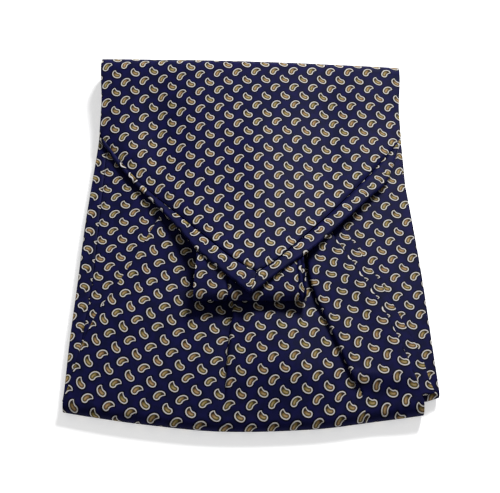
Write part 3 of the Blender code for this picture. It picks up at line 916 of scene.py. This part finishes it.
@functools.lru_cache(maxsize=None)
def fan_section(step):
    """Return the fan's section at a step of its length: x, z and width of each point."""
    y = step * PLEAT_STEP
    fan = row_at(FAN, y)
    # flat runs from 0, where the pleat is folded, to 1 where it has opened out.
    flat = smooth_step((PLEAT_OPENS_AT - y) / (PLEAT_OPENS_AT - PLEAT_FLAT_AT))
    deepening = smooth_step((PLEAT_DEEPENS_AT - y) / PLEAT_DEEPENS_OVER)
    depth = PLEAT_DEPTH_TOP + (PLEAT_DEPTH - PLEAT_DEPTH_TOP) * deepening
    depth = depth * (1.0 - smooth_step(flat * 1.6)) + PLEAT_LEAST_DEPTH
    angle = math.pi * (1.0 - smooth_step((flat - 0.35) / 0.65))
    straight = [(depth / PLEAT_POINTS, 0.0)] * PLEAT_POINTS
    pleat = turn_path(turn_moves(angle) + straight + turn_moves(-angle))
    pleat_shift = fan.pleat - min(x for x, z in pleat)

    def panel_height(x):
        drop = crease_drop(FAN_CREASES, x, y)
        return fan_layer(x, y) + valley_rise(x, y, fan) - drop

    valley_left = fan.valley - VALLEY_WIDTH
    valley_right = fan.valley + VALLEY_WIDTH
    places = spread(fan.left_edge, valley_left, LEFT_POINTS)
    places += spread(valley_left, valley_right, VALLEY_POINTS)[1:-1]
    places += spread(valley_right, pleat_shift - 1.0, MIDDLE_POINTS)
    points = [(x, panel_height(x)) for x in places]
    start_z = panel_height(pleat_shift)
    for x, z in pleat:
        points.append((x + pleat_shift, z + start_z))

    left_x, left_z = points[-1]
    left_extra = left_z - fan_layer(left_x, y)
    sinking = smooth_step((flat - 0.55) / 0.45)
    right_extra = FAN_RISE_RIGHT + (FAN_RISE_AT_FOLD - FAN_RISE_RIGHT) * sinking
    hem_short = smooth_step((HEM_SHORTENS_AT - y) / HEM_CHANGE)
    hem_open = smooth_step((HEM_SHORTENS_AT - HEM_CHANGE - y) / HEM_CHANGE)
    hem_length = 0.4 + min(HEM_DEPTH, depth) * (1.0 - hem_short)
    straight = [(hem_length / HEM_POINTS, 0.0)] * HEM_POINTS
    hem = turn_path(turn_moves(-math.pi * (1.0 - hem_open)) + straight)
    hem_shift = fan.right_edge - max(x for x, z in hem)
    for x in spread(left_x, hem_shift, RIGHT_POINTS)[1:]:
        part = (x - left_x) / (hem_shift - left_x)
        extra = left_extra + (right_extra - left_extra) * smooth_step(part)
        drop = crease_drop(FAN_CREASES, x, y) * smooth_step(part * 4.0)
        points.append((x, fan_layer(x, y) + extra - drop))
    last_z = points[-1][1]
    for x, z in hem[1:]:
        points.append((x + hem_shift, z + last_z))
    return add_widths(points)


def fan_at(column, y):
    """Return x, z and the width of one column of the fan at y."""
    place = y / PLEAT_STEP
    low = math.floor(place)
    part = place - low
    ends = zip(fan_section(low)[column], fan_section(low + 1)[column])
    return [start + (end - start) * part for start, end in ends]


def fan_fold_y(x):
    """Where the bottom fold starts to turn under."""
    return row_at(BOTTOM_FOLD, x).y + HALF_CLOTH + BOTTOM_FOLD_DEPTH


def fan_point(column, part):
    """Place one point of the fan's front: part runs from its top to the bottom fold."""
    y = FAN_TOP_LEFT + (FAN_FOLD_NEAR - FAN_TOP_LEFT) * part
    for _ in range(3):
        x, z, width = fan_at(column, y)
        to_right = smooth_step((x - FAN_TOP_STEP_X) / FAN_TOP_STEP_WIDTH)
        top = FAN_TOP_LEFT + (FAN_TOP_RIGHT - FAN_TOP_LEFT) * to_right
        y = top + (fan_fold_y(x) - top) * part
    return x, y, z, width


def fan_print(column, x, y, length):
    """Return the print's place on the fan, for a face that starts at a column."""
    middle_start = LEFT_POINTS + VALLEY_POINTS // 2
    if column >= RIGHT_START:
        return print_place(RIGHT_FAN_PRINT, x, length)
    reach = VALLEY_JOIN_WIDTH * smooth_step((VALLEY_JOINS_AT - y) / VALLEY_JOINS_OVER)
    if reach > VALLEY_LEAST_JOIN:
        part = smooth_step((x - row_at(FAN, y).valley) / (2 * reach) + 0.5)
    else:
        part = float(column >= middle_start)
    left = print_place(LEFT_FAN_PRINT, x, length)
    middle = print_place(MIDDLE_FAN_PRINT, x, length)
    middle = [place + hidden for place, hidden in zip(middle, VALLEY_HIDES)]
    return [first + (second - first) * part for first, second in zip(left, middle)]


def build_fan(context):
    """The pleated stretch: from under the point to the bottom fold, then under."""
    columns = range(len(fan_section(0)))
    rows = []
    widths = []
    for part in spread(0.0, 1.0, 66):
        points = [fan_point(column, part) for column in columns]
        rows.append([point[:3] for point in points])
        widths.append([point[3] for point in points])
    front = rows[-1]
    rows += fold_under(front, HALF_CLOTH, BOTTOM_FOLD_DEPTH, 15)
    for y in spread(FAN_UNDERSIDE_Y, UNDERSIDE_RETURN, 7):
        rows.append([(x, y, HALF_CLOTH) for x, _, _ in front])
    widths += [widths[-1]] * (len(rows) - len(widths))
    rows.reverse()
    widths.reverse()
    lengths = cloth_lengths(rows, FAN_PRINT_Y)

    def place(row, column, face_column):
        y = rows[row][column][1]
        return fan_print(face_column, widths[row][column], y, lengths[row][column])

    return cloth_sheet(context, "pleated_blade", rows, place)


def lower_fold_y(x):
    """Where the lower blade's own fold starts to turn under."""
    return row_at(BOTTOM_FOLD, x).y + LOWER_BLADE_BEHIND + HALF_CLOTH + LOWER_FOLD_DEPTH


def lower_point(place, part):
    """Place one point of the lower blade's upper side, from its top to its fold."""
    y = LOWER_BLADE_TOP
    for _ in range(3):
        side = row_at(SIDES, y)
        x = side.border + (side.right - side.border) * place
        y = LOWER_BLADE_TOP + (lower_fold_y(x) - LOWER_BLADE_TOP) * part
    return x, y, lower_top(x, y) - HALF_CLOTH - crease_drop(LOWER_CREASES, x, y)


def build_lower_blade(context):
    """The blade beneath, which shows along both sides."""
    low = PLY + HALF_CLOTH
    across = spread(0.0, 1.0, 61)
    rows = [[lower_point(place, part) for place in across] for part in spread(0.0, 1.0, 90)]
    front = rows[-1]
    rows += fold_under(front, low, LOWER_FOLD_DEPTH, 9)
    rows.append([(x, LOWER_UNDERSIDE_Y, low) for x, _, _ in front])

    def layout_at(column):
        return LOWER_LEFT_PRINT if column < len(across) // 2 else LOWER_RIGHT_PRINT

    return laid_sheet(context, "lower_blade", rows, LOWER_PRINT_Y, layout_at)


def build_side_border(context):
    """The rolled facing along the lower blade's left edge."""
    rows = []
    for y in spread(SIDE_BORDER_FRONT, LOWER_BLADE_TOP, 90):
        side = row_at(SIDES, y)
        row = []
        for x in spread(side.left, side.border - SEAM_GAP / 2, 9):
            edge = smooth_step((x - side.border) / SIDE_BORDER_EDGE_WIDTH + 1.0)
            drop = SIDE_BORDER_EDGE_DROP * edge
            row.append((x, y, lower_top(x, y) - HALF_CLOTH - drop))
        rows.append(row)

    def place(row, column, _):
        return print_place(SIDE_BORDER_PRINT, *rows[row][column][:2])

    return cloth_sheet(context, "side_border", rows, place)


def build_right_pleat(context):
    """The narrow pleat that shows between the fan and the lower blade."""
    rows = []
    for part in spread(0.0, 1.0, 70):
        row = []
        for place in spread(0.0, 1.0, 13):
            y = RIGHT_PLEAT_TOP
            for _ in range(3):
                fan = row_at(FAN, y)
                first = fan.right_edge - RIGHT_PLEAT_COVERED
                x = first + (fan.under_pleat - first) * place
                y = RIGHT_PLEAT_TOP + (lower_fold_y(x) - 1.0 - RIGHT_PLEAT_TOP) * part
            row.append((x, y, fan_layer(x, y)))
        rows.append(row)
    return laid_sheet(context, "right_pleat", rows, FAN_PRINT_Y, lambda _: RIGHT_PLEAT_PRINT)


def build_neckband(context):
    """The pleated neckband, folded back under itself below the tip."""
    fold = NECKBAND[-1]
    path = []
    for band in [row_at(NECKBAND, y) for y in spread(NECKBAND_TOP, fold.y, 30)]:
        path.append((band.y, band.upper, 0.0))
    for angle in half_turn(15):
        y, z = round_fold(fold.y, fold.upper, fold.lower, -NECKBAND_FOLD_DEPTH, angle)
        path.append((y, z, angle))
    for band in [row_at(NECKBAND, y) for y in spread(fold.y, NECKBAND_TOP, 16)]:
        path.append((band.y, band.lower, math.pi))
    across = spread(-1.0, 1.0, 36)
    for tuck in NECKBAND_TUCKS:
        steps = spread(-TUCK_REACH, TUCK_REACH, 9)
        across += [(tuck.x + step) / NECKBAND_HALF_TOP for step in steps]
    across.sort()
    rows = []
    for y, z, angle in path:
        widening = smooth_step((NECKBAND_WIDENS_AT - y) / NECKBAND_WIDENS_OVER)
        half = NECKBAND_HALF_TOP + (NECKBAND_HALF_FOLD - NECKBAND_HALF_TOP) * widening
        row = []
        for place in across:
            dip = 0.0
            for tuck in NECKBAND_TUCKS:
                offset = (place * NECKBAND_HALF_TOP - tuck.x) / tuck.width
                dip += tuck.depth * math.exp(-offset ** 2)
            dip *= smooth_step(math.pi - angle)
            dip *= smooth_step((TUCKS_START_AT - y) / TUCKS_START_OVER)
            row.append((place * half, y + dip * math.sin(angle), z - dip * math.cos(angle)))
        rows.append(row)
    return laid_sheet(context, "neckband", rows, NECKBAND_PRINT_Y, lambda _: NECKBAND_PRINT,
                      neckband_width)


def core_ring(y, rounding):
    """Return one ring of the hidden layers: x, y and z of each corner."""
    side = row_at(SIDES, y)
    inward = 1.0 - math.sqrt(max(0.0, 1.0 - (1.0 - rounding) ** 2))
    squeeze = 1.0 - CORE_END_SQUEEZE * inward
    left = side.left + CORE_INSET + 2.0 * inward
    right = side.right - CORE_INSET - 2.0 * inward
    slant = TOP_ROLL_SLANT * smooth_step((y - 40.0) / 40.0)

    def corner(x, part, groove):
        place = y + slant * x
        ceiling = lower_top(x, min(place, LOWER_BLADE_TOP)) - PLY
        middle = (PLY + ceiling) / 2
        return x + groove, place, middle + (part - 0.5) * (ceiling - PLY) * squeeze

    ring = []
    across = spread(left + CORE_CORNER, right - CORE_CORNER, CORE_TOP_POINTS)
    upward = spread(0.0, 1.0, CORE_LAYER_POINTS * CORE_LAYERS + 1)[1:-1]
    for flat, height, side, parts, sign in ((across, 0.0, right, upward, -1.0),
                                            (across[::-1], 1.0, left, upward[::-1], 1.0)):
        ring += [corner(x, height, 0.0) for x in flat]
        for part in parts:
            groove = CORE_GROOVE * math.cos(CORE_LAYERS * math.pi * part) ** 2
            ring.append(corner(side, part, sign * groove))
    return ring


def core_layer(index):
    """Return a number that shifts the print on each layer at the sides of the core."""
    half = CORE_TOP_POINTS + CORE_LAYER_POINTS * CORE_LAYERS - 1
    from_corner = index % half - CORE_TOP_POINTS
    shift = CORE_SHIFT_RIGHT if index < half else CORE_SHIFT_LEFT
    return shift * max(0, from_corner // CORE_LAYER_POINTS + 1)


def build_folded_layers(context):
    """The hidden layers: one rounded solid, grooved where its layers end."""
    colors = context.scene.cravat_print
    repeat_across = colors.repeat_across / MM
    repeat_along = colors.repeat_along / MM
    builder = bmesh.new()
    print_layer = builder.loops.layers.uv.new(UV_NAME)
    rings = []
    stations = [CORE_FRONT + step for step in (0.0, 0.25, 0.8, 1.8, 3.2, 5.0, CORE_ROUND)]
    stations += spread(CORE_FRONT + 10.0, CORE_BACK - 10.0, 50)
    stations += [CORE_BACK - step for step in (CORE_ROUND, 5.0, 3.2, 1.8, 0.8, 0.25, 0.0)]
    for y in stations:
        rounding = min(1.0, (y - CORE_FRONT) / CORE_ROUND, (CORE_BACK - y) / CORE_ROUND)
        ring = core_ring(y, rounding)
        rings.append([builder.verts.new(to_metres(*corner)) for corner in ring])
    for near, far in zip(rings, rings[1:]):
        for index in range(len(near)):
            after = (index + 1) % len(near)
            face = builder.faces.new((near[index], near[after], far[after], far[index]))
            layer = core_layer(index)
            for loop in face.loops:
                x, y, z = loop.vert.co / MM
                loop[print_layer].uv = ((x + CORE_SIDE_LEAN * z) / repeat_across + layer,
                                        y / repeat_along + CORE_SHIFT_ALONG * layer)
    for ring in (rings[0][::-1], rings[-1]):
        for loop in builder.faces.new(ring).loops:
            x, y, z = loop.vert.co / MM
            loop[print_layer].uv = (x / repeat_across, z / repeat_along)
    bmesh.ops.recalc_face_normals(builder, faces=builder.faces)
    for face in builder.faces:
        face.smooth = True
    return add_object(context, "folded_layers_silk", builder)


def length_setting(name, description, default, **limits):
    """Return a length for the sidebar."""
    return FloatProperty(name=name, description=description, default=default,
                         unit="LENGTH", precision=5, **limits)


def color_setting(name, description, default):
    """Return a colour for the sidebar."""
    return FloatVectorProperty(name=name, description=description, default=default,
                               min=0.0, max=1.0, subtype="COLOR")


def strength_setting(name, description, default, unit="NONE"):
    """Return the strength of a light for the sidebar."""
    return FloatProperty(name=name, description=description, default=default,
                         min=0.0, unit=unit)


class CravatCloth(bpy.types.PropertyGroup):
    """How the silk is made up."""

    thickness: length_setting("Thickness", "Cloth with its interlining", 1.0 * MM,
                              min=0.3 * MM, max=1.3 * MM)
    edge_round: FloatProperty(
        name="Edge rounding", description="How much of the thickness its edges round off",
        default=0.4, min=0.0, max=0.49, subtype="FACTOR")
    twill_pitch: length_setting("Twill pitch", "Distance between the twill's ribs", 0.5 * MM,
                                min=0.2 * MM)


class CravatPrint(bpy.types.PropertyGroup):
    """The print's repeat and inks."""

    repeat_across: length_setting("Repeat across", "From one motif to the next, across",
                                  9.4 * MM, min=4.0 * MM)
    repeat_along: length_setting("Repeat along", "From one motif to the next, along",
                                 10.05 * MM, min=4.0 * MM)
    ground: color_setting("Ground", "The silk's own navy", (0.0042, 0.0052, 0.020))
    # A lighter navy for random tone, which also paints sheen on the crowns of the twill's threads.
    ground_tone_and_sheen: color_setting("Light ground", "The navy on the crowns of the threads",
                                (0.0070, 0.0070, 0.050))
    halo: color_setting("Halo", "The dark line round each motif", (0.001, 0.001, 0.004))
    outline: color_setting("Outline", "The cream line of each motif", (0.47, 0.45, 0.43))
    ring: color_setting("Ring", "The dark line inside the cream", (0.028, 0.019, 0.010))
    core: color_setting("Core", "The gold inside each motif", (0.16, 0.09, 0.035))
    olive: color_setting("Olive", "What the gold leans to here and there", (0.125, 0.10, 0.025))
    streak: color_setting("Streak", "The light line along the gold", (0.36, 0.26, 0.14))


class CravatStage(bpy.types.PropertyGroup):
    """The camera, the floor and the lights."""

    tilt: FloatProperty(
        name="Camera tilt", description="From straight down",
        default=math.radians(32.0), subtype="ANGLE")
    distance: length_setting("Camera distance", "To the point that it looks at", 0.485)
    target_y: length_setting("Camera target", "How far behind the middle it looks", -0.00683)
    lens: FloatProperty(
        name="Lens", description="Focal length on a 36 mm sensor",
        default=74.16, unit="CAMERA")
    floor: color_setting("Floor", "The plain floor's colour", (0.94, 0.94, 0.945))
    glow: strength_setting("Floor glow", "The floor's own light, as on a light table", 0.5)
    key_power: strength_setting("Key light", "Power of the light behind the top fold", 9.5, "POWER")
    fill_power: strength_setting("Fill light", "Power of the light by the camera", 0.3, "POWER")
    sky: strength_setting("Sky", "Strength of the even light from all round", 0.265)


class CRAVAT_OT_pointed_end(bpy.types.Operator):
    """Build the pointed end that folds over the top."""

    bl_idname = "cravat.pointed_end"
    bl_label = "Pointed end"

    def execute(self, context):
        piece = build_pointed_end(context)
        dress_sheet(context, piece, "pointed_end")
        return {"FINISHED"}


class CRAVAT_OT_tip_borders(bpy.types.Operator):
    """Build the rolled border on both sides of the point."""

    bl_idname = "cravat.tip_borders"
    bl_label = "Tip borders"

    def execute(self, context):
        left = build_tip_border(context, "tip_border_left", LEFT_EDGE, BORDER_LEFT_PRINT)
        right = build_tip_border(context, "tip_border_right", RIGHT_EDGE, BORDER_RIGHT_PRINT)
        dress_sheet(context, left, "tip_border_left")
        dress_sheet(context, right, "tip_border_right")
        return {"FINISHED"}


class CRAVAT_OT_neckband(bpy.types.Operator):
    """Build the pleated neckband."""

    bl_idname = "cravat.neckband"
    bl_label = "Neckband"

    def execute(self, context):
        piece = build_neckband(context)
        dress_sheet(context, piece, "neckband")
        return {"FINISHED"}


class CRAVAT_OT_pleated_blade(bpy.types.Operator):
    """Build the pleated blade that fans out to the bottom fold."""

    bl_idname = "cravat.pleated_blade"
    bl_label = "Pleated blade"

    def execute(self, context):
        piece = build_fan(context)
        dress_sheet(context, piece, "pleated_blade")
        return {"FINISHED"}


class CRAVAT_OT_right_pleat(bpy.types.Operator):
    """Build the narrow pleat beside the fan."""

    bl_idname = "cravat.right_pleat"
    bl_label = "Right pleat"

    def execute(self, context):
        piece = build_right_pleat(context)
        dress_sheet(context, piece, "right_pleat")
        return {"FINISHED"}


class CRAVAT_OT_lower_blade(bpy.types.Operator):
    """Build the blade beneath and its rolled border."""

    bl_idname = "cravat.lower_blade"
    bl_label = "Lower blade"

    def execute(self, context):
        blade = build_lower_blade(context)
        border = build_side_border(context)
        dress_sheet(context, blade, "lower_blade")
        dress_sheet(context, border, "side_border")
        return {"FINISHED"}


class CRAVAT_OT_folded_layers(bpy.types.Operator):
    """Build the hidden layers between the upper and the lower side."""

    bl_idname = "cravat.folded_layers"
    bl_label = "Folded layers"

    def execute(self, context):
        piece = build_folded_layers(context)
        dress(context, piece, "folded_layers")
        return {"FINISHED"}


# The places and sizes of the lights, the floor's half width and its paper's grain.
KEY_PLACE = (0.24, 0.51, 0.50)
KEY_SIZE = 0.22
FILL_PLACE = (-0.35, -0.55, 0.60)
FILL_SIZE = 0.60
FLOOR_HALF = 3.0
FLOOR_GRAIN_SCALE = 90.0


def area_light(context, name, place, size, power):
    """Add a square light that faces the cravat."""
    light = bpy.data.lights.new(name, "AREA")
    light.energy = power
    light.size = size
    lamp = bpy.data.objects.new(name, light)
    lamp.location = place
    lamp.rotation_euler = (-Vector(place)).to_track_quat("-Z", "Y").to_euler()
    context.scene.collection.objects.link(lamp)


class CRAVAT_OT_stage(bpy.types.Operator):
    """Set the floor, the lights and the camera."""

    bl_idname = "cravat.stage"
    bl_label = "Stage"

    def execute(self, context):
        stage = context.scene.cravat_stage
        shader = Shader("floor_paper")
        grain = shader.value("ShaderNodeTexNoise", {}, {"Scale": FLOOR_GRAIN_SCALE, "Detail": 3.0})
        soft = shader.mix((*stage.floor, 1.0), tuple(0.97 * part for part in stage.floor) + (1.0,),
                          grain.step(0.3, 0.7))
        shader.set_surface(Base_Color=soft, Roughness=0.9, Specular_IOR_Level=0.1,
                           Emission_Color=(1.0, 1.0, 1.0, 1.0), Emission_Strength=stage.glow)
        builder = bmesh.new()
        bmesh.ops.create_grid(builder, x_segments=1, y_segments=1, size=FLOOR_HALF)
        floor = add_object(context, "floor", builder)
        floor.data.materials.append(shader.material)

        area_light(context, "key", KEY_PLACE, KEY_SIZE, stage.key_power)
        area_light(context, "fill", FILL_PLACE, FILL_SIZE, stage.fill_power)
        world = bpy.data.worlds.new("sky")
        world.use_nodes = True
        background = world.node_tree.nodes["Background"]
        background.inputs["Color"].default_value = (1.0, 1.0, 1.0, 1.0)
        background.inputs["Strength"].default_value = stage.sky
        context.scene.world = world
        context.scene.view_settings.view_transform = "Standard"

        camera = bpy.data.objects.new("camera", bpy.data.cameras.new("camera"))
        camera.data.sensor_width = 36.0
        camera.data.sensor_fit = "HORIZONTAL"
        camera.data.lens = stage.lens
        camera.data.clip_start = 0.01
        camera.rotation_euler = (stage.tilt, 0.0, 0.0)
        camera.location = (-MIDDLE_X * MM,
                           stage.target_y - stage.distance * math.sin(stage.tilt),
                           stage.distance * math.cos(stage.tilt))
        context.scene.collection.objects.link(camera)
        context.scene.camera = camera
        return {"FINISHED"}


class CRAVAT_PT_pieces(bpy.types.Panel):
    """Lists the cravat's pieces and settings in the sidebar."""

    bl_idname = "CRAVAT_PT_pieces"
    bl_label = "Folded silk cravat"
    bl_space_type = "VIEW_3D"
    bl_region_type = "UI"
    bl_category = "Cravat"

    def draw(self, context):
        for settings in (context.scene.cravat_cloth, context.scene.cravat_print,
                         context.scene.cravat_stage):
            box = self.layout.box()
            for name in settings.bl_rna.properties.keys():
                if name not in ("rna_type", "name"):
                    box.prop(settings, name)
        for operator in PIECES:
            self.layout.operator(operator.bl_idname)


SETTINGS = (CravatCloth, CravatPrint, CravatStage)
PIECES = (
    CRAVAT_OT_pointed_end,
    CRAVAT_OT_tip_borders,
    CRAVAT_OT_neckband,
    CRAVAT_OT_pleated_blade,
    CRAVAT_OT_right_pleat,
    CRAVAT_OT_lower_blade,
    CRAVAT_OT_folded_layers,
    CRAVAT_OT_stage,
)


def register():
    """Register the settings, the operators and the panel."""
    for item in (*SETTINGS, *PIECES, CRAVAT_PT_pieces):
        bpy.utils.register_class(item)
    bpy.types.Scene.cravat_cloth = PointerProperty(type=CravatCloth)
    bpy.types.Scene.cravat_print = PointerProperty(type=CravatPrint)
    bpy.types.Scene.cravat_stage = PointerProperty(type=CravatStage)


def unregister():
    """Take them away again."""
    del bpy.types.Scene.cravat_stage
    del bpy.types.Scene.cravat_print
    del bpy.types.Scene.cravat_cloth
    for item in (CRAVAT_PT_pieces, *reversed(PIECES), *reversed(SETTINGS)):
        bpy.utils.unregister_class(item)


def main():
    """Build every piece and the stage."""
    register()
    bpy.ops.cravat.pointed_end()
    bpy.ops.cravat.tip_borders()
    bpy.ops.cravat.neckband()
    bpy.ops.cravat.pleated_blade()
    bpy.ops.cravat.right_pleat()
    bpy.ops.cravat.lower_blade()
    bpy.ops.cravat.folded_layers()
    bpy.ops.cravat.stage()


if __name__ == "__main__":
    main()
